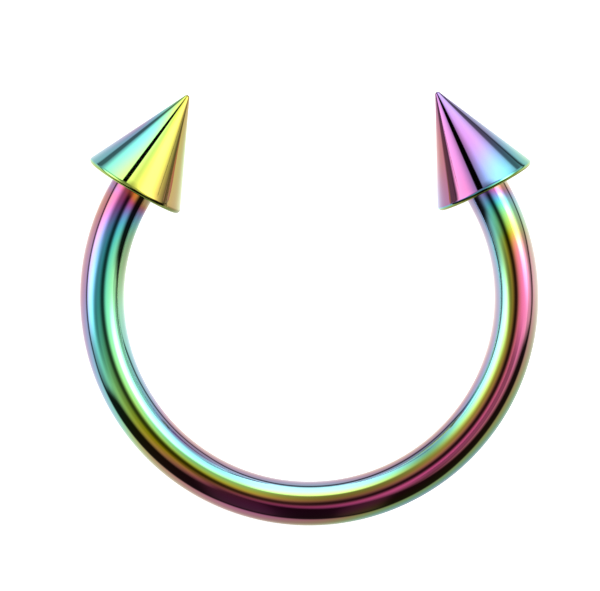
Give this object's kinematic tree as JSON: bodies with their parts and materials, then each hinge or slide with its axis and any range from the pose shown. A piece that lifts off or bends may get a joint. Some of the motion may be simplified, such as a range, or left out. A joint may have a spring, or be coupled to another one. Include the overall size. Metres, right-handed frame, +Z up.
{
  "type": "horseshoe barbell with cone ends",
  "caption": "Open horseshoe-shaped piercing ring of round bar with screw-on pointed cone ends, mirror-polished steel with a rainbow film.",
  "frame": {"origin": "middle of the footprint, on the surface that the barbell lies on", "axes": "+X across the mouth to the right, +Y from the closed bend towards the mouth, +Z up off the surface"},
  "size_m": [0.0124, 0.0118, 0.0028],
  "materials": {
    "rainbow_steel": "mirror-polished surgical steel with a rainbow interference film"
  },
  "bodies": {
    "bar": {"horseshoe_bar": "rainbow_steel"},
    "left_end": {"left_cone": "rainbow_steel"},
    "right_end": {"right_cone": "rainbow_steel"}
  },
  "joints": [
    {"name": "left_cone_unscrews", "type": "slide", "parent": "bar", "child": "left_end", "axis": [0.5105, 0.8562, 0.079], "range_m": [0, 0.0014]},
    {"name": "right_cone_unscrews", "type": "slide", "parent": "bar", "child": "right_end", "axis": [-0.4586, 0.8849, 0.0816], "range_m": [0, 0.0014]}
  ]
}
